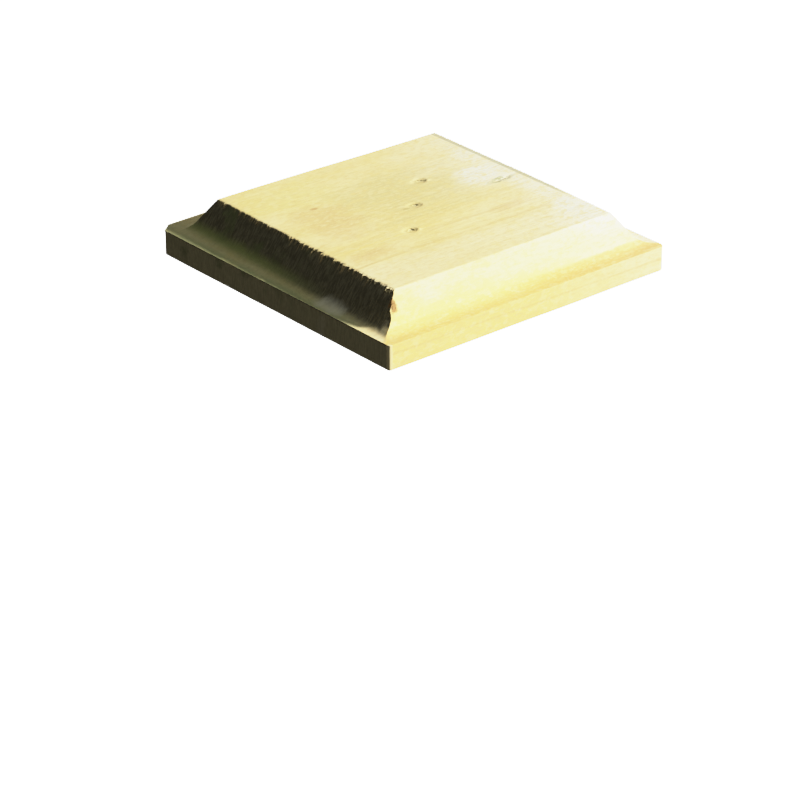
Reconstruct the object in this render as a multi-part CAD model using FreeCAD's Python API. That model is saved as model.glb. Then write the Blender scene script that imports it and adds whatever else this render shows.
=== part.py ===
import FreeCAD, Part
import math
import os

os.makedirs("parts", exist_ok=True)

# A timber cap for a square fence post, with the three nails that hold it on.
# Millimetres and degrees. +Z is up. The origin is the middle of the flat
# underside, where the cap sits on the post. The grain runs along X, so the
# two ends of the board face -X and +X, and its two sides face -Y and +Y.

# ---- The board ---------------------------------------------------------------
CUT_LENGTH = 125.0        # along the grain
BOARD_WIDTH = 128.0       # across the grain
BOARD_THICKNESS = 21.0    # a 25 mm sawn board, planed
EDGE_HEIGHT = 9.2         # square edge left standing below the moulding
CORNER_RADIUS = 1.0       # eased upright corners

# ---- The moulding across the two ends ---------------------------------------
END_LEDGE = 1.4           # level strip between the edge and the foot of the cove
END_COVE_RADIUS = 8.0     # hollow at the foot of the slope
END_SLOPE = 55.0          # straight slope above the cove, measured from level

# ---- The moulding along the two sides, run with a tighter cutter ------------
FRONT_LEDGE = 3.3
BACK_LEDGE = 5.7
SIDE_COVE_RADIUS = 6.0
SIDE_SLOPE = 60.0

# ---- Lost-head nails, galvanised steel wire ---------------------------------
NAIL_LENGTH = 50.0
SHANK_DIAMETER = 2.65
HEAD_DIAMETER = 4.0
HEAD_BAND = 1.1           # upright band round the head
NECK_LENGTH = 1.5         # taper from the head down to the shank
POINT_LENGTH = 4.6        # four-sided point
SET_DEPTH = 0.4           # the heads are driven this far below the top

# ---- The row of nails along the diagonal ------------------------------------
NAIL_COUNT = 3
NAIL_PITCH = 21.7
ROW_ANGLE = 46.0          # the row's direction, turned from X
ROW_CENTRE_X = 2.1        # nailed by hand, so the row is a little off centre
ROW_CENTRE_Y = -0.7

# ---- Clearances --------------------------------------------------------------
SHANK_CLEARANCE = 0.0     # a driven nail fills the hole it makes
HEAD_CLEARANCE = 0.0      # and its head fills the dent above it

# ---- Worked out from the sizes above ----------------------------------------
HALF_LENGTH = CUT_LENGTH / 2
HALF_WIDTH = BOARD_WIDTH / 2
HEAD_TOP = BOARD_THICKNESS - SET_DEPTH
NAIL_TIP = HEAD_TOP - NAIL_LENGTH
SHOULDER = NAIL_TIP + POINT_LENGTH    # where the point begins
Z_AXIS = FreeCAD.Vector(0, 0, 1)
ORIGIN = FreeCAD.Vector(0, 0, 0)


def moulding(ledge, cove_radius, slope_angle):
    """The moulding from the edge inwards, as (inset from the edge, height).

    The points are the foot of the cove, its middle and its end, and the top arris.
    """
    slope = math.radians(slope_angle)

    def on_cove(angle):
        inset = ledge + cove_radius * math.sin(angle)
        height = EDGE_HEIGHT + cove_radius * (1 - math.cos(angle))
        return inset, height

    end_inset, end_height = on_cove(slope)
    top_inset = end_inset + (BOARD_THICKNESS - end_height) / math.tan(slope)
    return [on_cove(0), on_cove(slope / 2), (end_inset, end_height), (top_inset, BOARD_THICKNESS)]


def moulded_section(half_span, low_side, high_side, place):
    """The board's cross-section, with one moulding on its low side and one on its high side.

    `place` turns (distance across the section, height) into a point in space.
    """
    low = [place(inset - half_span, height) for inset, height in low_side]
    high = [place(half_span - inset, height) for inset, height in high_side]
    low_foot = place(-half_span, 0)
    low_edge = place(-half_span, EDGE_HEIGHT)
    high_foot = place(half_span, 0)
    high_edge = place(half_span, EDGE_HEIGHT)
    outline = [
        Part.makeLine(low_foot, high_foot),
        Part.makeLine(high_foot, high_edge),
        Part.makeLine(high_edge, high[0]),
        Part.Arc(high[0], high[1], high[2]).toShape(),
        Part.makeLine(high[2], high[3]),
        Part.makeLine(high[3], low[3]),
        Part.makeLine(low[3], low[2]),
        Part.Arc(low[2], low[1], low[0]).toShape(),
        Part.makeLine(low[0], low_edge),
        Part.makeLine(low_edge, low_foot),
    ]
    return Part.Face(Part.Wire(outline))


def side_moulded_bar():
    """The board with its two sides moulded, run along the grain."""
    front = moulding(FRONT_LEDGE, SIDE_COVE_RADIUS, SIDE_SLOPE)
    back = moulding(BACK_LEDGE, SIDE_COVE_RADIUS, SIDE_SLOPE)
    section = moulded_section(
        HALF_WIDTH, front, back, lambda y, z: FreeCAD.Vector(-HALF_LENGTH, y, z)
    )
    return section.extrude(FreeCAD.Vector(CUT_LENGTH, 0, 0))


def end_moulded_bar():
    """The board with its two ends moulded, run across the grain."""
    end = moulding(END_LEDGE, END_COVE_RADIUS, END_SLOPE)
    section = moulded_section(
        HALF_LENGTH, end, end, lambda x, z: FreeCAD.Vector(x, -HALF_WIDTH, z)
    )
    return section.extrude(FreeCAD.Vector(0, BOARD_WIDTH, 0))


def eased_blank():
    """The plain board with its four upright corners eased."""
    corner = FreeCAD.Vector(-HALF_LENGTH, -HALF_WIDTH, 0)
    blank = Part.makeBox(CUT_LENGTH, BOARD_WIDTH, BOARD_THICKNESS, corner)
    uprights = [edge for edge in blank.Edges if edge.BoundBox.ZLength > BOARD_THICKNESS / 2]
    return blank.makeFillet(CORNER_RADIUS, uprights)


def nail_places():
    """Where each nail stands in plan."""
    places = []
    row = math.radians(ROW_ANGLE)
    for index in range(NAIL_COUNT):
        along = (index - (NAIL_COUNT - 1) / 2) * NAIL_PITCH
        x = ROW_CENTRE_X + along * math.cos(row)
        y = ROW_CENTRE_Y + along * math.sin(row)
        places.append(FreeCAD.Vector(x, y, 0))
    return places


def turned(shank_radius, head_radius, foot, top):
    """Shank, neck and head on the Z axis, from the height `foot` up to `top`."""
    neck_top = HEAD_TOP - HEAD_BAND
    neck_foot = neck_top - NECK_LENGTH
    outline = [
        (0, foot),
        (shank_radius, foot),
        (shank_radius, neck_foot),
        (head_radius, neck_top),
        (head_radius, top),
        (0, top),
        (0, foot),
    ]
    wire = Part.makePolygon([FreeCAD.Vector(radius, 0, z) for radius, z in outline])
    return Part.Face(wire).revolve(ORIGIN, Z_AXIS, 360)


def four_sided_spike():
    """A square spike on its point, as wide at the top as the shank is round."""
    half = SHANK_DIAMETER / 2
    square = [(-half, -half), (half, -half), (half, half), (-half, half)]
    base = [FreeCAD.Vector(x, y, SHOULDER) for x, y in square]
    tip = FreeCAD.Vector(0, 0, NAIL_TIP)
    faces = [Part.Face(Part.makePolygon(base + [base[0]]))]
    for index in range(len(base)):
        following = base[(index + 1) % len(base)]
        faces.append(Part.Face(Part.makePolygon([tip, base[index], following, tip])))
    return Part.makeSolid(Part.makeShell(faces))


def make_nail():
    """One lost-head nail on the Z axis, at the depth that it is driven to."""
    wire_end = Part.makeCylinder(
        SHANK_DIAMETER / 2, POINT_LENGTH, FreeCAD.Vector(0, 0, NAIL_TIP)
    )
    point = wire_end.common(four_sided_spike())
    above_point = turned(SHANK_DIAMETER / 2, HEAD_DIAMETER / 2, SHOULDER, HEAD_TOP)
    return above_point.fuse(point).removeSplitter()


def make_cap():
    """The timber: moulded on all four edges, with the holes that the nails fill."""
    cap = side_moulded_bar().common(end_moulded_bar()).common(eased_blank())
    shank_radius = (SHANK_DIAMETER + SHANK_CLEARANCE) / 2
    head_radius = (HEAD_DIAMETER + HEAD_CLEARANCE) / 2
    hole = turned(shank_radius, head_radius, NAIL_TIP, BOARD_THICKNESS)
    for place in nail_places():
        cap = cap.cut(hole.translated(place))
    return cap


make_cap().exportStep("parts/timber_cap.step")
nail = make_nail()
for number, place in enumerate(nail_places(), start=1):
    nail.translated(place).exportStep("parts/fixing_nail_%d.step" % number)
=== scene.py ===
import math

import bmesh
import bpy
from mathutils import Matrix, Vector, noise


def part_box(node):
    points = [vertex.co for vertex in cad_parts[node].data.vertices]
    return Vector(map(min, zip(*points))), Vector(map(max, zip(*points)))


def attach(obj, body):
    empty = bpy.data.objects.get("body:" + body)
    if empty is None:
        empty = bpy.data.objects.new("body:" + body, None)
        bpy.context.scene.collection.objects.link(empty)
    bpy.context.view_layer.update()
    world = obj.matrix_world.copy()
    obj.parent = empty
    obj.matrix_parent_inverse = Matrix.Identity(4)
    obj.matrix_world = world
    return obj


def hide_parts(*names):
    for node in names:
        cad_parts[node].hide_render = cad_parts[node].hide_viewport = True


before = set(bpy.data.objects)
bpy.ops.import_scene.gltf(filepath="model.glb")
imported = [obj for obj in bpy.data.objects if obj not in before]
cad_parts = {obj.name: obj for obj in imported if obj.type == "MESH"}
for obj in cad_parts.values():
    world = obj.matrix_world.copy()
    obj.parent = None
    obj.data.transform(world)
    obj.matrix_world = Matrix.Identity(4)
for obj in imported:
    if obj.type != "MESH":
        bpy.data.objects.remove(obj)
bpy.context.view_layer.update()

# ------------------------------------------------------------------------------
# The board. The cap is one piece of pressure-treated softwood, cut from a planed
# 25 mm board with the grain running along X. A cutter has run a cove and a slope
# along its two sides and, wider, across its two ends, where the fibres tear.
# ------------------------------------------------------------------------------
MM = 0.001
board_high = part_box("timber_cap")[1]
HALF_LENGTH = board_high.x / MM
HALF_WIDTH = board_high.y / MM
THICKNESS = board_high.z / MM
EDGE_HEIGHT = 9.2

# Each moulding is its ledge, the radius of its cove and the pitch of its slope.
END_MOULDING = (1.4, 8.0, math.radians(55))
FRONT_MOULDING = (3.3, 6.0, math.radians(60))
BACK_MOULDING = (5.7, 6.0, math.radians(60))

FOOT_EASE = 0.22               # the bottom arris is rubbed down by this much
FOOT_CURVE = 0.3 * FOOT_EASE   # the first row up the sides is this far up and in
FOOT_LIMIT = 0.1 * FOOT_EASE   # whatever is lower than this is the underside
LEDGE_EASE = 0.06              # the arris of the ledge is still crisp
TOP_EASE = 0.22
TEAR_HEIGHT = 3.0              # closer rows near the top, where the ends are torn
EDGE_ROWS = 8
COVE_ROWS = 10
SLOPE_ROWS = 9
TEAR_ROWS = 9
COLUMNS = (15, 15)             # columns to each side, cut in two passes
UNCUT_LENGTH = 80              # the first pass cuts every line longer than this


def inset_at(height, moulding):
    """How far in from the edge a moulding stands at a height above the underside."""
    ledge, radius, slope = moulding
    rise = height - EDGE_HEIGHT
    cove_rise = radius * (1 - math.cos(slope))
    if rise <= cove_rise:
        return ledge + math.sqrt(max(rise * (2 * radius - rise), 0))
    return ledge + radius * math.sin(slope) + (rise - cove_rise) / math.tan(slope)


def even(low, high, rows):
    """Values from low to high in equal rows, without low itself."""
    return [low + (high - low) * row / rows for row in range(1, rows + 1)]


def board_outlines():
    """The board's outlines from the foot up: height, then end, front and back insets."""
    mouldings = (END_MOULDING, FRONT_MOULDING, BACK_MOULDING)
    ledges = [ledge for ledge, radius, slope in mouldings]
    outlines = [(FOOT_CURVE, *[FOOT_CURVE] * 3)]
    edge_heights = even(0, EDGE_HEIGHT - LEDGE_EASE, EDGE_ROWS)
    outlines += [(height, 0, 0, 0) for height in edge_heights]
    outlines.append((EDGE_HEIGHT, *[LEDGE_EASE] * 3))
    outlines.append((EDGE_HEIGHT, *[(ledge + LEDGE_EASE) / 2 for ledge in ledges]))
    outlines.append((EDGE_HEIGHT, *ledges))
    end_radius, end_slope = END_MOULDING[1:]
    turns = even(0, end_slope, COVE_ROWS)
    heights = [EDGE_HEIGHT + end_radius * (1 - math.cos(turn)) for turn in turns]
    heights += even(heights[-1], THICKNESS - TEAR_HEIGHT, SLOPE_ROWS)
    heights += even(THICKNESS - TEAR_HEIGHT, THICKNESS - TOP_EASE, TEAR_ROWS)
    outlines += [(height, *[inset_at(height, m) for m in mouldings]) for height in heights]
    outlines.append((THICKNESS, *[inset_at(THICKNESS, m) + TOP_EASE for m in mouldings]))
    return outlines


bpy.ops.object.select_all(action="DESELECT")
bpy.ops.mesh.primitive_plane_add(size=2 * HALF_LENGTH * MM, location=(0, 0, 0))
board = bpy.context.object
board.name = "moulded_timber_cap"
bpy.ops.object.mode_set(mode="EDIT")
half_x = HALF_LENGTH - FOOT_EASE
half_y = HALF_WIDTH - FOOT_EASE
bpy.ops.transform.resize(
    value=(half_x / HALF_LENGTH, half_y / HALF_LENGTH, 1),
    center_override=(0, 0, 0),
)
height = 0.0
middle = 0.0
for next_height, end_inset, front_inset, back_inset in board_outlines():
    next_half_x = HALF_LENGTH - end_inset
    next_half_y = HALF_WIDTH - (front_inset + back_inset) / 2
    next_middle = (front_inset - back_inset) / 2
    move = Vector((0, next_middle - middle, next_height - height)) * MM
    bpy.ops.mesh.extrude_region_move(TRANSFORM_OT_translate={"value": move})
    bpy.ops.transform.resize(
        value=(next_half_x / half_x, next_half_y / half_y, 1),
        center_override=(0, next_middle * MM, next_height * MM),
    )
    half_x, half_y, height, middle = next_half_x, next_half_y, next_height, next_middle

# The underside is taken off while the sides are cut into columns, and then put back.
sheet = bmesh.from_edit_mesh(board.data)
for face in sheet.faces:
    face.select_set(max(corner.co.z for corner in face.verts) < FOOT_LIMIT * MM)
bmesh.update_edit_mesh(board.data)
bpy.ops.mesh.delete(type="ONLY_FACE")
bpy.context.tool_settings.mesh_select_mode = (False, True, False)
shortest = UNCUT_LENGTH * MM
for columns in COLUMNS:
    sheet = bmesh.from_edit_mesh(board.data)
    for edge in sheet.edges:
        edge.select_set(edge.calc_length() > shortest)
    bmesh.update_edit_mesh(board.data)
    bpy.ops.mesh.subdivide(number_cuts=columns - 1)
    shortest /= columns
bpy.ops.mesh.select_all(action="DESELECT")
bpy.ops.mesh.select_non_manifold(extend=False, use_wire=False, use_multi_face=False)
bpy.ops.mesh.edge_face_add()

# One upright corner was knocked off square when the board was cut to length.
CLIP_POINT = Vector((-60.2, 62.55, 0)) * MM
CLIP_FACING = Vector((-2.9, 4.6, 0))
bpy.context.tool_settings.mesh_select_mode = (False, False, True)
bpy.ops.mesh.select_all(action="SELECT")
bpy.ops.mesh.bisect(plane_co=CLIP_POINT, plane_no=CLIP_FACING, use_fill=True, clear_outer=True)
bpy.ops.mesh.select_all(action="SELECT")
bpy.ops.mesh.normals_make_consistent(inside=False)
bpy.ops.object.mode_set(mode="OBJECT")

# The nails were driven by hand, just below the surface and on a slanted row. The last
# blow crushed the wood round each head, and raised a lip on one side of it.
NAIL_PLACES = []
for number in (1, 2, 3):
    nail_low, nail_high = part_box("fixing_nail_%d" % number)
    nail_x = (nail_low.x + nail_high.x) / 2 / MM
    nail_y = (nail_low.y + nail_high.y) / 2 / MM
    NAIL_PLACES.append((nail_x, nail_y))
HEAD_TOP = nail_high.z / MM
NAIL_TIP = nail_low.z / MM
HEAD_RADIUS = (nail_high.x - nail_low.x) / 2 / MM
SHANK_RADIUS = 1.325
HEAD_BAND = 1.1
NECK_LENGTH = 1.5
DISH_DEPTH = 0.25              # how far the wood round a head is crushed
LIP = (2.1, -1.5)              # from the nail to the middle of its lip
LIP_SIZES = (0.25, 0.08, 0.25)

# The surface is then worked vertex by vertex: the wander of the cutter, raised grain
# along the sides, and the fibres that the cutter tore out where it crossed the grain.
TOP_HALF_X = HALF_LENGTH - inset_at(THICKNESS, END_MOULDING)
TOP_FRONT = -HALF_WIDTH + inset_at(THICKNESS, FRONT_MOULDING)
TOP_BACK = HALF_WIDTH - inset_at(THICKNESS, BACK_MOULDING)
# Each corner is named by the signs of its x and y.
CORNER_RADII = {(-1, -1): 0.8, (1, -1): 2.0, (1, 1): 1.3, (-1, 1): 0.5}
FIBRE_PITCH = 0.44             # one torn fibre to a column of the mesh
TEAR_REACH = 2.6               # the ends are torn this far in from the top arris
TEAR_DROP = 6.0                # and this far down the slope
TEAR_MARGIN = 3.0              # and this far past the corners of the top
LAYER_DEPTH = 1.3              # fibres tear out in layers of this depth
NOTCH_PLACE = -10.5            # where one bundle of fibres has come right out
NOTCH_WIDTH = 1.5
MITRE_FOOT = 10.0              # the chipped stretch of the front mitre
MITRE_TOP = 20.9
MITRE_SIDE = -45.0             # the mitre lies wholly past this, both ways
BACK_SHIFT = 0.5               # how far each cut stands off, and how far it wanders
BACK_WANDER = 2.6
FAR_SHIFT = 0.5
FAR_WANDER = 1.3
NEAR_SHIFT = 0.1
NEAR_WANDER = 1.0
WANDER = 0.11                  # the cutter's slow wander over the whole board
RAISED_GRAIN = 0.055
FINE_STREAKS = 0.06            # ridges that the cutter left on the end grain
BROAD_STREAKS = 0.10
DENT_X = 40.0
DENT_Y = -2.5
DENT_DEPTH = 0.30


def ramp(low, high, value):
    """0 up to low, 1 past high, and an even curve between them."""
    share = min(max((value - low) / (high - low), 0), 1)
    return share * share * (3 - 2 * share)


def ripple(x, y, z):
    """Smooth noise about 0."""
    return noise.noise(Vector((x, y, z)))


def fibre(place, layer):
    """A number from 0 to 1 for each fibre bundle across an end."""
    return 0.5 + 0.5 * noise.cell(Vector((place / FIBRE_PITCH + 0.25, layer + 0.5, 0.5)))


def round_corner(spot):
    """Rounds the four upright corners in plan."""
    side_x = math.copysign(1, spot.x)
    side_y = math.copysign(1, spot.y)
    radius = CORNER_RADII[side_x, side_y]
    over_x = abs(spot.x) - (HALF_LENGTH - radius)
    over_y = abs(spot.y) - (HALF_WIDTH - radius)
    if min(over_x, over_y) > 0:
        pull = max(over_x, over_y) / math.hypot(over_x, over_y)
        spot.x = side_x * (HALF_LENGTH - radius + over_x * pull)
        spot.y = side_y * (HALF_WIDTH - radius + over_y * pull)


def standing_fibre(end, y):
    """How far a fibre bundle still stands at an end's top arris, from 0 to 1."""
    return fibre(y, 4 + end) ** 1.5 * ramp(0.35, 0.55, fibre(y, 8 + end))


def tear_strength(end, y):
    """The cutter ran out at one corner, and tore the fibres most there."""
    if end > 0:
        return 0.30
    return 0.45 + 0.85 * ramp(35, -42, y) * ramp(-0.8, 0.4, ripple(3, y * 0.09, 1))


def torn_arris(spot):
    """Tears the top arris of an end: fibres lost, and fibres left standing."""
    end = math.copysign(1, spot.x)
    past = abs(spot.x) - TOP_HALF_X
    drop = THICKNESS - spot.z
    if past < -TEAR_REACH or drop > TEAR_DROP:
        return
    if not TOP_FRONT - TEAR_MARGIN < spot.y < TOP_BACK + TEAR_MARGIN:
        return
    strength = tear_strength(end, spot.y)
    wander = 0.5 + ripple(end * 5, spot.y * 0.45, 2)
    lost = 0.75 * fibre(spot.y, end) ** 2 + 0.5 * wander
    if end < 0:
        lost += 1.2 * ramp(NOTCH_WIDTH, 0.2, abs(spot.y - NOTCH_PLACE))
    standing = standing_fibre(end, spot.y)
    if drop < 0.05:
        spot.x -= end * strength * lost * ramp(-TEAR_REACH, 0, past)
        if past > -0.45:
            spot.x += end * strength * 1.2 * standing
            spot.z -= strength * (0.10 + 0.35 * standing)
        return
    layer = math.floor(drop / LAYER_DEPTH)
    hollow = ramp(5, 0.4, drop) * (0.4 + 0.6 * fibre(spot.y, 12 + end + layer))
    held = 0.75 * standing * ramp(2.4, 0.2, drop)
    spot.x -= end * strength * (0.75 * lost * ramp(3.2, 0.3, drop) + 0.26 * hollow - held)


def chipped_mitre(spot):
    """Chips the mitre below the front corner, where the two cutters met."""
    if max(spot.x, spot.y) > MITRE_SIDE or not MITRE_FOOT < spot.z < MITRE_TOP:
        return
    mitre_x = -HALF_LENGTH + inset_at(spot.z, END_MOULDING)
    mitre_y = -HALF_WIDTH + inset_at(spot.z, FRONT_MOULDING)
    off_mitre = max(abs(spot.x - mitre_x), abs(spot.y - mitre_y))
    chip = 0.35 + 0.9 * ripple(spot.z * 0.55, 31, 2) + 0.5 * ripple(spot.z * 1.4, 37, 5)
    chip *= ramp(MITRE_FOOT, 13, spot.z) * ramp(MITRE_TOP, 19, spot.z) * ramp(2.6, 0, off_mitre)
    spot.x += 0.75 * max(chip, -0.15)
    spot.y += 0.35 * max(chip, -0.15)
    spot.x += 0.9 * ramp(MITRE_FOOT, 11.5, spot.z) * ramp(16, 13, spot.z) * ramp(4, 0, off_mitre)


def out_of_square(spot):
    """The back cut and the two end cuts wandered, so the top is not quite a square."""
    above_edge = ramp(EDGE_HEIGHT - 0.1, EDGE_HEIGHT, spot.z)
    back_inset = HALF_WIDTH - spot.y
    on_back = min(back_inset / BACK_MOULDING[0], 1) * ramp(45, 17, back_inset) * above_edge
    spot.y -= (BACK_WANDER * ramp(-50, 60, spot.x) - BACK_SHIFT) * on_back
    far_inset = HALF_LENGTH - spot.x
    share_up = min(max(spot.z - EDGE_HEIGHT, 0) / (THICKNESS - EDGE_HEIGHT), 1)
    spot.x += (FAR_SHIFT + FAR_WANDER * ramp(-60, 0, spot.y)) * share_up * ramp(45, 15, far_inset)
    near_inset = HALF_LENGTH + spot.x
    on_near = min(near_inset / 8, 1) * ramp(45, 15, near_inset) * above_edge
    spot.x += (NEAR_SHIFT + NEAR_WANDER * spot.y / 50) * on_near


def worked(spot, facing):
    """Moves a point of the fresh board, given in mm, to where the work left it."""
    end_grain = ramp(0.45, 0.85, abs(facing.x))
    top = ramp(0.9, 0.99, facing.z)
    wander = WANDER * ripple(spot.x * 0.03, spot.y * 0.035, spot.z * 0.06 + 7)
    grain = RAISED_GRAIN * ripple(spot.x * 0.018, spot.y * 0.9, spot.z * 0.9)
    streak = FINE_STREAKS * ripple(spot.y * 1.15, spot.z * 0.16, 11)
    streak += BROAD_STREAKS * ripple(spot.y * 0.4, spot.z * 0.4, 17)
    above_cove = ramp(11.5, 15, spot.z)
    rough = streak * (0.16 + 0.84 * above_cove)
    spot += facing * (wander * (1 - 0.6 * top) + grain * (1 - end_grain) + rough * end_grain)
    along_dent = spot.x - DENT_X
    across_dent = spot.y - DENT_Y - 0.12 * along_dent
    dent = math.hypot(along_dent / 6.5, across_dent / 1.5)
    dent += 0.4 * ripple(spot.x * 0.8, spot.y * 0.8, 23)
    spot.z -= DENT_DEPTH * top * ramp(1, 0.2, dent)
    for (nail_x, nail_y), lip in zip(NAIL_PLACES, LIP_SIZES):
        across = spot.x - nail_x
        across *= 0.55 if across < 0 else 1.0
        spot.z -= DISH_DEPTH * top * ramp(2.6, 1.5, math.hypot(across, spot.y - nail_y))
        off_lip = math.hypot((spot.x - nail_x - LIP[0]) / 1.5, spot.y - nail_y - LIP[1])
        spot.z += lip * top * ramp(1.1, 0.1, off_lip)
    torn_arris(spot)
    chipped_mitre(spot)
    out_of_square(spot)


facings = [corner.normal.copy() for corner in board.data.vertices]
for corner, facing in zip(board.data.vertices, facings):
    spot = corner.co / MM
    if corner.co.z >= FOOT_LIMIT * MM:
        worked(spot, facing)
    round_corner(spot)
    corner.co = spot * MM
board.data.update()


def lathe(name, sides, profile, x, y):
    """A closed turned shape about an upright axis, from (height, radius) pairs going down."""
    bpy.ops.object.select_all(action="DESELECT")
    height, radius = profile[0]
    bpy.ops.mesh.primitive_circle_add(
        vertices=sides,
        radius=radius * MM,
        fill_type="NGON",
        location=(x * MM, y * MM, height * MM),
    )
    turned = bpy.context.object
    turned.name = name
    bpy.ops.object.transform_apply(location=True)
    bpy.ops.object.mode_set(mode="EDIT")
    bpy.ops.mesh.select_all(action="SELECT")
    for next_height, next_radius in profile[1:]:
        move = (0, 0, (next_height - height) * MM)
        bpy.ops.mesh.extrude_region_move(TRANSFORM_OT_translate={"value": move})
        growth = next_radius / radius
        bpy.ops.transform.resize(
            value=(growth, growth, 1),
            center_override=(x * MM, y * MM, next_height * MM),
        )
        height, radius = next_height, next_radius
    bpy.ops.mesh.select_all(action="SELECT")
    bpy.ops.mesh.normals_make_consistent(inside=False)
    bpy.ops.object.mode_set(mode="OBJECT")
    return turned


MOUTH_DEPTH = 0.30             # the torn mouth of a nail hole
MOUTH_LENGTH = 0.68            # its share of the head's width, along the grain
MOUTH_WIDTH = 0.46             # and across it
HEAD_PLAY = 0.03
SHANK_PLAY = 0.02
for x, y in NAIL_PLACES:
    hole = lathe("nail_hole", 40, [
        (THICKNESS + 0.6, HEAD_RADIUS),
        (THICKNESS - MOUTH_DEPTH, HEAD_RADIUS),
        (HEAD_TOP + 0.01, HEAD_RADIUS + HEAD_PLAY),
        (HEAD_TOP - HEAD_BAND, HEAD_RADIUS + HEAD_PLAY),
        (HEAD_TOP - HEAD_BAND - NECK_LENGTH, SHANK_RADIUS + SHANK_PLAY),
        (-1, SHANK_RADIUS + SHANK_PLAY),
    ], x, y)
    # The torn fibres close in over the head from the two sides, across the grain.
    for corner in hole.data.vertices:
        if corner.co.z > (THICKNESS - MOUTH_DEPTH - 0.05) * MM:
            out = corner.co / MM - Vector((x, y, 0))
            torn = 0.34 * ripple(out.x * 0.8 + x, out.y * 0.8, 4)
            torn += 0.16 * ripple(out.x * 2.1 + x, out.y * 2.1, 9)
            corner.co.x = (x + out.x * (MOUTH_LENGTH + torn)) * MM
            corner.co.y = (y + out.y * (MOUTH_WIDTH + torn)) * MM
    bpy.ops.object.select_all(action="DESELECT")
    board.select_set(True)
    bpy.context.view_layer.objects.active = board
    cut = board.modifiers.new("nail_hole", "BOOLEAN")
    cut.operation = "DIFFERENCE"
    cut.solver = "EXACT"
    cut.object = hole
    bpy.ops.object.modifier_apply(modifier=cut.name)
    bpy.data.objects.remove(hole)
bpy.ops.object.shade_smooth_by_angle(angle=math.radians(35))

# Fibres left standing at an end keep the colour of the face, and the finish has to know
# where they are.
pale_fibre = board.data.attributes.new("pale_fibre", "FLOAT", "POINT")
for corner, share in zip(board.data.vertices, pale_fibre.data):
    spot = corner.co / MM
    if spot.z > 15 and abs(spot.x) > TOP_HALF_X - 1.5:
        end = math.copysign(1, spot.x)
        hang = 1.0 + 3.2 * fibre(spot.y, 20 + end) * tear_strength(end, spot.y)
        share.value = standing_fibre(end, spot.y) * ramp(hang, 0.3 * hang, THICKNESS - spot.z)
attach(board, "root")
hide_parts("timber_cap")


class Wire:
    """A value on its way between two nodes, which sums can be written with."""

    def __init__(self, finish, socket):
        self.finish = finish
        self.socket = socket

    def reckon(self, operation, first, second=0):
        return self.finish.node("ShaderNodeMath", {"operation": operation}, {0: first, 1: second})

    def __add__(self, other):
        return self.reckon("ADD", self, other)

    def __radd__(self, other):
        return self.reckon("ADD", other, self)

    def __sub__(self, other):
        return self.reckon("SUBTRACT", self, other)

    def __rsub__(self, other):
        return self.reckon("SUBTRACT", other, self)

    def __mul__(self, other):
        return self.reckon("MULTIPLY", self, other)

    def __rmul__(self, other):
        return self.reckon("MULTIPLY", other, self)

    def __truediv__(self, other):
        return self.reckon("DIVIDE", self, other)

    def __pow__(self, other):
        return self.reckon("POWER", self, other)

    def __abs__(self):
        return self.reckon("ABSOLUTE", self)

    def fraction(self):
        """What is left past the whole number."""
        return self.reckon("FRACT", self)


class Finish:
    """A material whose nodes are made and wired one at a time."""

    def __init__(self, name):
        self.material = bpy.data.materials.new(name)
        self.material.use_nodes = True
        self.tree = self.material.node_tree
        self.tree.nodes.clear()

    def node(self, kind, settings, wires, output=0):
        """Makes a node, sets it, feeds its sockets, and returns one output."""
        made = self.tree.nodes.new(kind)
        for name, value in settings.items():
            setattr(made, name, value)
        for name, value in wires.items():
            if isinstance(value, Wire):
                self.tree.links.new(value.socket, made.inputs[name])
            else:
                made.inputs[name].default_value = value
        return None if output is None else Wire(self, made.outputs[output])

    def place(self):
        """Where a point of the piece is, in mm."""
        metres = self.node("ShaderNodeTexCoord", {}, {}, "Object")
        return self.stretched(metres, 1000, 1000, 1000)

    def split(self, vector):
        """The X, Y and Z of a vector."""
        return [self.node("ShaderNodeSeparateXYZ", {}, {0: vector}, part) for part in range(3)]

    def between(self, low, high, value):
        """0 up to low, 1 past high, and an even curve between them."""
        settings = {"interpolation_type": "SMOOTHSTEP"}
        return self.node("ShaderNodeMapRange", settings, {"Value": value, 1: low, 2: high})

    def noise(self, vector, scale=1.0, detail=2.0, roughness=0.5):
        wires = {"Vector": vector, "Scale": scale, "Detail": detail, "Roughness": roughness}
        return self.node("ShaderNodeTexNoise", {}, wires)

    def stretched(self, vector, x, y, z):
        settings = {"operation": "MULTIPLY"}
        return self.node("ShaderNodeVectorMath", settings, {0: vector, 1: (x, y, z)})

    def mixed(self, share, first, second):
        """Two colours mixed; the Mix node's colour sockets are numbers 6 and 7."""
        return self.node("ShaderNodeMix", {"data_type": "RGBA"}, {0: share, 6: first, 7: second}, 2)

    def finish(self, shader):
        self.node("ShaderNodeOutputMaterial", {}, {0: shader}, None)


def paint(red, green, blue):
    """A colour given as it looks, from 0 to 255, as the shader wants it."""
    levels = [level / 255 for level in (red, green, blue)]
    return (*[v / 12.92 if v <= 0.04045 else ((v + 0.055) / 1.055) ** 2.4 for v in levels], 1)


# Planed softwood with a faint green tint from the treatment. The finish works in mm.
PITH_Y = 12.0
PITH_Z = -38.0
RING_WIDTH = 3.4
STRAW = paint(234, 213, 146)
CREAM = paint(243, 227, 172)
BLEACHED = paint(246, 241, 218)
TAN = paint(220, 192, 136)
OLIVE = paint(214, 201, 146)
BROWN = paint(196, 163, 108)
GOLD = paint(240, 213, 128)
LEMON = paint(232, 218, 138)
WHITENED = paint(238, 241, 228)

wood = Finish("pressure_treated_softwood")
place = wood.place()
place_x, place_y, place_z = wood.split(place)
facing_x = wood.split(wood.node("ShaderNodeTexCoord", {}, {}, "Normal"))[0]
end_grain = wood.between(0.18, 0.66, abs(facing_x))

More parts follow.
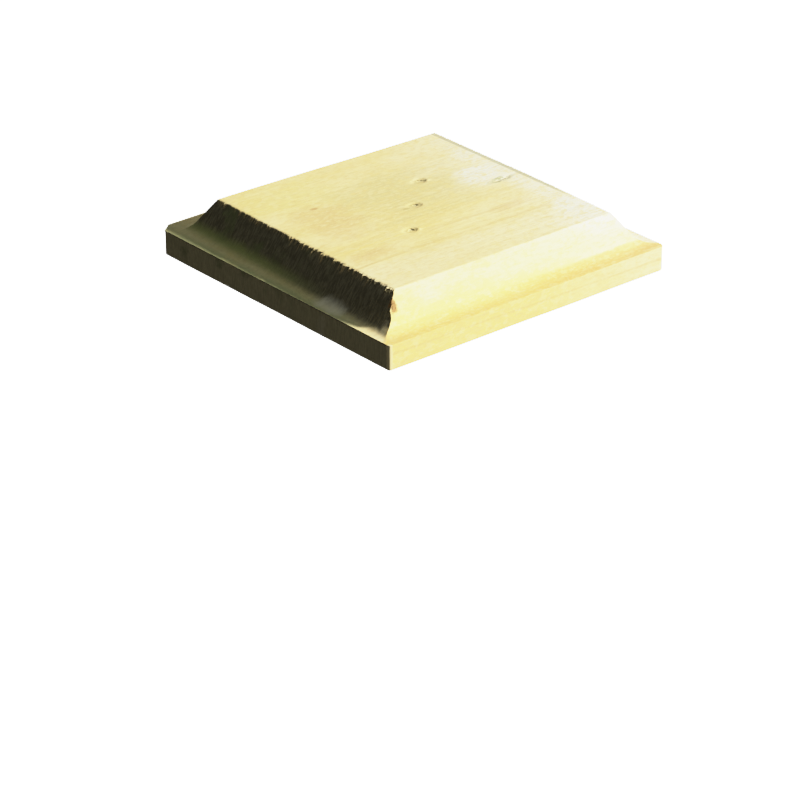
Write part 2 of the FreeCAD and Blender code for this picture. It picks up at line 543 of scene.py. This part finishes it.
clouds = wood.noise(wood.stretched(place, 0.028, 0.06, 0.06), 1, 3, 0.55)
drift = wood.noise(wood.stretched(place, 0.012, 0.03, 0.03), 1, 1) - 0.5
fibres = wood.noise(wood.stretched(place, 0.12, 2.0, 2.0), 1, 4, 0.65)
strands = wood.noise(wood.stretched(place, 0.03, 0.6, 0.6), 1, 3, 0.55)
flecks = wood.noise(wood.stretched(place, 0.34, 0.9, 0.9), 1, 4, 0.7)
mottle = wood.noise(wood.stretched(place, 0.30, 0.42, 0.42), 1, 3, 0.6)
blots = wood.noise(wood.stretched(place, 0.08, 0.15, 0.15), 1, 3, 0.6)
straight_y = place_y + 6 * drift


def apart(one_way, other_way):
    """How far off a point is, from how far off it is each way."""
    return (one_way * one_way + other_way * other_way) ** 0.5


ring_radius = apart(straight_y - PITH_Y, place_z - PITH_Z + 0.03 * place_x)
ring = (ring_radius / RING_WIDTH).fraction()
latewood = (ring ** 3) * (1 - wood.between(0.88, 1.0, ring))


def patch(x, y, reach_x, reach_y):
    """A soft-edged patch on the face of the board, 1 in its middle and 0 past its reach."""
    off_x = (place_x - x) / reach_x
    off_y = (straight_y - y) / reach_y
    return 1 - wood.between(0.0, 1.0, off_x * off_x + off_y * off_y + 1.6 * (blots - 0.5))


def streak(y, reach, start, stop):
    """A grain line along the board, from one x to another."""
    off_y = (straight_y - y) / reach
    along = wood.between(start - 8, start + 8, place_x)
    along = along * (1 - wood.between(stop - 8, stop + 8, place_x))
    return (1 - wood.between(0.0, 1.0, off_y * off_y)) * along * (0.4 + strands)


# The natural tints: how strong each is, its colour, its middle, and its reach both ways.
TINTS = [
    (0.50, LEMON, -28, 32, 28, 20),
    (0.78, OLIVE, 10, 12, 40, 28),
    (0.75, TAN, -30, 7, 15, 21),
    (0.75, TAN, -36, -24, 14, 5),
    (0.75, TAN, 27, -22.5, 12, 3.5),
]
# And the grain lines: strength, colour, the y and half width, and the two ends in x.
GRAIN_LINES = [
    (0.60, OLIVE, -9, 2.2, -20, 30),
    (0.45, GOLD, -18, 0.7, -60, 0),
    (0.35, BROWN, -21.3, 0.9, -5, 28),
    (0.40, BROWN, -29.8, 1.1, -80, 80),
    (0.35, OLIVE, 24, 1.0, -20, 40),
]
tone = wood.mixed(wood.between(0.35, 0.65, clouds), STRAW, CREAM)
tone = wood.mixed(0.14 * latewood, tone, BROWN)
for strength, colour, *where in TINTS:
    tone = wood.mixed(strength * patch(*where), tone, colour)
for strength, colour, *where in GRAIN_LINES:
    tone = wood.mixed(strength * streak(*where), tone, colour)

# Sun and rain have bleached the right-hand end and, in patches, the sloping front.
WHITE_PATCHES = [(0.75, 38, 5, 14, 11), (0.75, 44, -40, 11, 14), (0.60, 46, 2, 9, 50)]
from_end = HALF_LENGTH - abs(place_x)
from_front = HALF_WIDTH + place_y
sloping_front = wood.between(-50, -52, place_y) * wood.between(-4, -1, from_end - from_front)
bleach = 0.80 * wood.between(8, 56, place_x + 34 * (clouds - 0.5))
bleach = bleach + 0.55 * patch(38, 7, 13, 9) + 0.25 * patch(40, -42, 16, 12)
bleach = bleach + 0.34 * wood.between(-30, -34, straight_y) * (1 - sloping_front)
high_front = sloping_front * wood.between(0.42, 0.66, blots) * wood.between(11, 16, place_z)
bleach = bleach + 0.36 * high_front
tone = wood.mixed(bleach * (0.8 + 0.6 * (flecks - 0.5)), tone, BLEACHED)
for strength, *where in WHITE_PATCHES:
    tone = wood.mixed(strength * patch(*where), tone, WHITENED)

# The foot of the front slope is golden, with an amber band and a brown line below it.
PALE_GREEN = paint(226, 226, 164)
AMBER = paint(218, 168, 88)
BAND_HEIGHT = 9.5
LINE_HEIGHT = 5.2
low_front = sloping_front * (1 - wood.between(10.5, 18.5, place_z + 7 * (blots - 0.5)))
tone = wood.mixed((0.86 - 0.44 * wood.between(0, 40, place_x)) * low_front, tone, GOLD)
green_front = sloping_front * wood.between(0.4, 0.6, clouds) * wood.between(11, 15, place_z)
tone = wood.mixed(0.75 * green_front, tone, PALE_GREEN)
off_band = place_z - BAND_HEIGHT
amber_band = 1 - wood.between(0.3, 2.6, off_band * off_band + 1.5 * (blots - 0.5))
amber_band = amber_band * wood.between(9.0, 9.2, place_z)
amber_band = amber_band * (0.35 + 0.35 * wood.between(-15, 30, place_x))
tone = wood.mixed(sloping_front * amber_band, tone, AMBER)
off_line = (place_z - LINE_HEIGHT + 0.012 * place_x + 1.5 * (strands - 0.5)) / 0.5
brown_line = sloping_front * (1 - wood.between(0.0, 1.0, off_line * off_line))
tone = wood.mixed(0.35 * brown_line, tone, BROWN)

# The fine figure of the wood, from fibres to mottling.
tone = wood.mixed(0.60 * wood.between(0.45, 0.75, fibres), tone, OLIVE)
tone = wood.mixed(0.55 * wood.between(0.5, 0.72, flecks), tone, CREAM)
tone = wood.mixed(0.40 * wood.between(0.52, 0.36, flecks), tone, TAN)
tone = wood.mixed(0.45 * wood.between(0.50, 0.64, mottle), tone, STRAW)
tone = wood.mixed(0.35 * wood.between(0.50, 0.36, mottle), tone, CREAM)

# The ends take up more of the treatment, and read dark and olive. The near one has a little moss on
# it. Its ledge is painted greyer and greener, most towards the outer arris, and the foot of its
# cove lighter and greener: painted skylight in shade.
END_DARK = paint(94, 88, 68)
END_OLIVE = paint(134, 127, 101)
SAWN_END = paint(224, 214, 164)
SKYLIT_LEDGE_GREEN = paint(184, 188, 136)
MOSS = paint(112, 120, 76)
SKYLIT_COVE_GREEN = paint(158, 166, 98)
GREY = paint(168, 166, 140)
pores = wood.noise(wood.stretched(place, 0.2, 1.7, 0.35), 1, 4, 0.65)
moss = wood.noise(place, 0.09, 3, 0.6)
end_tone = wood.mixed(wood.between(0.35, 0.7, pores), END_DARK, END_OLIVE)
end_tone = wood.mixed(0.65 * wood.between(0, 40, place_x), end_tone, TAN)
end_tone = wood.mixed(0.40 * latewood, end_tone, END_DARK)
sawn_edge = (1 - wood.between(8.7, 9.05, place_z)) * (0.7 + 0.5 * (pores - 0.5))
end_tone = wood.mixed(0.8 * sawn_edge, end_tone, SAWN_END)
green_share = wood.between(0, -30, place_x) * wood.between(-30, 20, place_y)
end_tone = wood.mixed(0.6 * green_share * wood.between(0.5, 0.65, moss), end_tone, MOSS)
# Painted light: the foot of the near cove, which faces the sky, is painted lighter and greener, as
# painted skylight in the shade.
low_cove = 1 - wood.between(10.5, 14.0, place_z + 3 * (moss - 0.5))
low_cove = low_cove * wood.between(9.1, 9.3, place_z)
end_tone = wood.mixed(0.75 * low_cove * green_share, end_tone, SKYLIT_COVE_GREEN)

# Painted light: the shaded near ledge is painted greyer and greener, most towards its outer arris,
# as painted skylight in the shade of the top.
near_ledge = wood.between(-50, -56, place_x) * wood.between(-52, -40, place_y)
near_ledge = near_ledge * (1 - wood.between(15, 18, place_z))
ledge_skylight_edge = wood.between(-57, -61.5, place_x) * (0.5 + 0.5 * wood.between(0.35, 0.6, moss))
tone = wood.mixed(near_ledge * (0.25 + 0.65 * ledge_skylight_edge), tone, SKYLIT_LEDGE_GREEN)
tone = wood.mixed(end_grain, tone, end_tone)
# Painted light: a patch on the outer near ledge is painted pale, as the light at the soft edge of
# the key lamp's shadow.
tone = wood.mixed(0.60 * near_ledge * patch(-58.8, -28, 4, 10), tone, BLEACHED)
pale_share = wood.node("ShaderNodeAttribute", {"attribute_name": "pale_fibre"}, {}, "Fac")
tone = wood.mixed(0.9 * pale_share * end_grain, tone, TAN)

# The front corner is rubbed pale, and the far arris of the top has gone grey.
off_corner = apart(place_x + HALF_LENGTH, place_y + HALF_WIDTH)
rubbed = 1 - wood.between(1.0, 1.7, off_corner + 0.5 * (flecks - 0.5))
tone = wood.mixed(0.9 * rubbed, tone, CREAM)
far_arris = wood.between(47.9, 48.5, place_x) * wood.between(-35, -20, place_y)
far_arris = far_arris * wood.between(20.3, 20.8, place_z)
tone = wood.mixed(0.7 * far_arris * (0.4 + fibres), tone, GREY)

# Marks: a faint stain round each nail, a small dent left of one nail shown only as painted shade, a
# small brown spot, a green bruise, a splinter with painted shadow over part of it.
STAIN_AND_DENT_SHADE = paint(190, 177, 122)
GREEN = paint(150, 156, 118)
SPLINTER = paint(142, 100, 52)
SPLINTER_SHADOW = paint(72, 50, 28)
SPLINTER_X = -51.6
SPLINTER_Y = -52.8
SPLINTER_Z = 16.8
for x, y in NAIL_PLACES:
    off_x = place_x - x
    off_y = place_y - y
    off_nail = (off_x * off_x * 0.5 + off_y * off_y) ** 0.5 + 1.6 * (flecks - 0.5)
    tone = wood.mixed(0.45 * (1 - wood.between(1.0, 2.4, off_nail)), tone, STAIN_AND_DENT_SHADE)
# Painted shade: a small patch left of one nail is painted darker, standing in for the shade in a
# small dent there.
tone = wood.mixed(0.8 * patch(-2.6, -1.6, 2.4, 1.0), tone, STAIN_AND_DENT_SHADE)
tone = wood.mixed(0.8 * patch(-27.5, 19.5, 2.4, 1.3), tone, BROWN)
bruise = patch(40, -2.5, 7.5, 2.6) * wood.between(0.4, 0.55, flecks)
tone = wood.mixed(0.8 * bruise, tone, GREEN)
curl = wood.noise(place, 0.9, 2, 0.5)
off_splinter = apart(place_x - SPLINTER_X, place_y - SPLINTER_Y) + 2.5 * (curl - 0.5)
up_splinter = (place_z - SPLINTER_Z) / 2.8
splinter = 1 - wood.between(0.9, 1.7, off_splinter)
splinter = splinter * (1 - wood.between(0.4, 1.0, up_splinter * up_splinter))
tone = wood.mixed(0.75 * splinter, tone, SPLINTER)
# Painted shadow: part of the splinter is painted dark, as the shadow of the sliver.
tone = wood.mixed(0.9 * splinter * wood.between(0.50, 0.56, curl), tone, SPLINTER_SHADOW)

roughness = 0.80 + 0.14 * (fibres - 0.5)
relief = 0.5 * fibres + 0.3 * strands - 0.25 * latewood + 0.4 * end_grain * pores
bump = wood.node("ShaderNodeBump", {}, {"Strength": 0.55, "Distance": 0.0002, "Height": relief})
shader = wood.node(
    "ShaderNodeBsdfPrincipled",
    {},
    {"Base Color": tone, "Roughness": roughness, "Specular IOR Level": 0.12, "Normal": bump},
)
wood.finish(shader)
board.data.materials.clear()
board.data.materials.append(wood.material)

# ------------------------------------------------------------------------------
# The three nails that hold the cap to its post. Galvanised lost-head wire nails, 50 by
# 2.65 mm: a dimpled head cold-formed on drawn wire, grip marks below it, and a point
# pinched from four sides. Driven by hand and punched just below the surface.
# ------------------------------------------------------------------------------
POINT_LENGTH = 4.6
GRIP_MARKS = 6
GRIP_PITCH = 0.9
grip_radius = SHANK_RADIUS - 0.09
neck_foot = HEAD_TOP - HEAD_BAND - NECK_LENGTH
nail_profile = [
    (HEAD_TOP - 0.22, 0.35 * HEAD_RADIUS),
    (HEAD_TOP - 0.18, 0.52 * HEAD_RADIUS),
    (HEAD_TOP - 0.03, 0.66 * HEAD_RADIUS),
    (HEAD_TOP, 0.74 * HEAD_RADIUS),
    (HEAD_TOP, 0.90 * HEAD_RADIUS),
    (HEAD_TOP - 0.06, 0.97 * HEAD_RADIUS),
    (HEAD_TOP - 0.18, HEAD_RADIUS),
    (HEAD_TOP - HEAD_BAND, HEAD_RADIUS),
    (HEAD_TOP - HEAD_BAND - 0.25, 0.95 * HEAD_RADIUS),
    (neck_foot + 0.3, SHANK_RADIUS + 0.04),
    (neck_foot, SHANK_RADIUS),
]
for mark in range(GRIP_MARKS):
    mark_top = neck_foot - 1.0 - GRIP_PITCH * mark
    nail_profile += [(mark_top, SHANK_RADIUS), (mark_top - 0.12, grip_radius)]
    nail_profile += [(mark_top - 0.32, grip_radius), (mark_top - 0.44, SHANK_RADIUS)]
nail_profile.append((NAIL_TIP, SHANK_RADIUS))
nail = lathe("galvanised_nail_1", 32, nail_profile, 0, 0)
bpy.ops.object.mode_set(mode="EDIT")
for quarter in range(4):
    turn = Matrix.Rotation(math.radians(90 * quarter), 3, "Z")
    bpy.ops.mesh.select_all(action="SELECT")
    bpy.ops.mesh.bisect(
        plane_co=(0, 0, NAIL_TIP * MM),
        plane_no=turn @ Vector((0, POINT_LENGTH, -SHANK_RADIUS)),
        use_fill=True,
        clear_outer=True,
    )
bpy.ops.mesh.select_all(action="SELECT")
bpy.ops.mesh.normals_make_consistent(inside=False)
bpy.ops.object.mode_set(mode="OBJECT")
bpy.ops.object.shade_smooth_by_angle(angle=math.radians(35))

# Zinc, dull between its crystals, with a pale crust where rain reaches the head.
ZINC = paint(158, 160, 156)
DULL = paint(112, 112, 104)
OXIDE = paint(228, 214, 156)
steel = Finish("galvanised_steel")
wire_place = steel.place()
wire_height = steel.split(wire_place)[2]
spangle = steel.node("ShaderNodeTexVoronoi", {}, {"Vector": wire_place, "Scale": 1.8})
crust = steel.noise(wire_place, 2.2, 4, 0.6)
coat = steel.mixed(steel.between(0.3, 0.7, crust), DULL, ZINC)
coat = steel.mixed(0.3 * spangle, coat, ZINC)
weathered = steel.between(HEAD_TOP - 0.5, HEAD_TOP - 0.1, wire_height)
coat = steel.mixed(weathered * (0.8 + 0.2 * steel.between(0.4, 0.65, crust)), coat, OXIDE)
pits = steel.node("ShaderNodeBump", {}, {"Strength": 0.5, "Distance": 0.0001, "Height": crust})
steel.finish(steel.node(
    "ShaderNodeBsdfPrincipled",
    {},
    {
        "Base Color": coat,
        "Metallic": 0.4 - 0.4 * weathered,
        "Roughness": 0.42 + 0.3 * crust + 0.1 * weathered,
        "Normal": pits,
    },
))
nail.data.materials.append(steel.material)

nails = [nail]
for number in (2, 3):
    bpy.ops.object.duplicate()
    copy = bpy.context.object
    copy.name = "galvanised_nail_%d" % number
    nails.append(copy)
for number, (copy, (x, y)) in enumerate(zip(nails, NAIL_PLACES), start=1):
    bpy.ops.object.select_all(action="DESELECT")
    copy.select_set(True)
    bpy.context.view_layer.objects.active = copy
    bpy.ops.object.mode_set(mode="EDIT")
    bpy.ops.mesh.select_all(action="SELECT")
    bpy.ops.transform.rotate(value=0.9 * number, orient_axis="Z", center_override=(0, 0, 0))
    bpy.ops.transform.translate(value=(x * MM, y * MM, 0))
    bpy.ops.object.mode_set(mode="OBJECT")
    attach(copy, "root")
    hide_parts("fixing_nail_%d" % number)

# ------------------------------------------------------------------------------
# The light, the floor and the camera. One low lamp stands in for the sun, and the
# rest of the light is soft.
# ------------------------------------------------------------------------------
HEADING = math.radians(50.42)
DOWN_TILT = math.radians(26.57)
ROLL = math.radians(-0.44)
CAMERA_PLACE = Vector((-0.7145, -0.8581, 0.5033))
level_ahead = Vector((math.cos(HEADING), math.sin(HEADING), 0))
ahead = level_ahead * math.cos(DOWN_TILT) - Vector((0, 0, math.sin(DOWN_TILT)))
right = Vector((math.sin(HEADING), -math.cos(HEADING), 0))
upward = right.cross(ahead)
tilted_right = right * math.cos(ROLL) + upward * math.sin(ROLL)
tilted_up = upward * math.cos(ROLL) - right * math.sin(ROLL)
camera = bpy.data.objects.new("camera", bpy.data.cameras.new("camera"))
bpy.context.scene.collection.objects.link(camera)
turn = Matrix((tilted_right, tilted_up, -ahead)).transposed()
camera.matrix_world = Matrix.Translation(CAMERA_PLACE) @ turn.to_4x4()
camera.data.lens = 156
camera.data.sensor_width = 36
camera.data.clip_end = 50
bpy.context.scene.camera = camera


def lamp(name, towards, distance, size, power, colour):
    """A round soft lamp, shining at the cap from a direction."""
    light = bpy.data.lights.new(name, "AREA")
    light.shape = "DISK"
    light.size = size
    light.energy = power
    light.color = colour
    stand = bpy.data.objects.new(name, light)
    bpy.context.scene.collection.objects.link(stand)
    stand.location = Vector(towards).normalized() * distance
    stand.rotation_euler = Vector(towards).to_track_quat("Z", "Y").to_euler()
    return stand


lamp("key_lamp", (0.600, -0.67, 0.49), 3.0, 0.33, 190, (1.0, 0.985, 0.95))
lamp("sky_lamp", (0.15, -0.1, 1.0), 3.0, 2.2, 15, (0.93, 1.0, 0.93))
lamp("side_lamp", (-1.0, -0.3, 0.12), 3.0, 2.0, 8.5, (1.0, 0.98, 0.95))
lamp("back_lamp", (0.25, 1.0, 0.4), 3.0, 2.0, 10, (0.97, 0.98, 1.0))
under_lamp = lamp("under_lamp", (0.0, 0.0, -1.0), 0.25, 0.5, 0.03, (1.0, 1.0, 1.0))
under_lamp.visible_camera = False

bpy.ops.object.select_all(action="DESELECT")
bpy.ops.mesh.primitive_plane_add(size=30, location=(0, 0, -0.3))
floor = bpy.context.object
floor.name = "floor"
ground = Finish("pale_floor")
ground.finish(ground.node("ShaderNodeBsdfPrincipled", {}, {
    "Base Color": (0.9, 0.9, 0.9, 1),
    "Roughness": 0.9,
    "Emission Color": (1, 1, 1, 1),
    "Emission Strength": 1.6,
}))
floor.data.materials.append(ground.material)
floor.visible_diffuse = False
floor.visible_glossy = False

world = bpy.data.worlds.new("studio")
world.use_nodes = True
background = world.node_tree.nodes["Background"]
background.inputs["Color"].default_value = (1, 1, 1, 1)
background.inputs["Strength"].default_value = 3.0
world.cycles_visibility.diffuse = False
world.cycles_visibility.glossy = False
bpy.context.scene.world = world

# The response of a camera: straight in the shadows, with a soft shoulder at the top.
WHITE = 2.2
RESPONSE = [(0.25, 0.255), (0.5, 0.51), (0.8, 0.765), (1.1, 0.88), (1.4, 0.91), (1.8, 0.93)]
view = bpy.context.scene.view_settings
view.view_transform = "Standard"
view.use_curve_mapping = True
view.curve_mapping.white_level = (WHITE, WHITE, WHITE)
combined_curve = view.curve_mapping.curves[3]
for light, shown in RESPONSE:
    combined_curve.points.new(light / WHITE, shown)
view.curve_mapping.update()
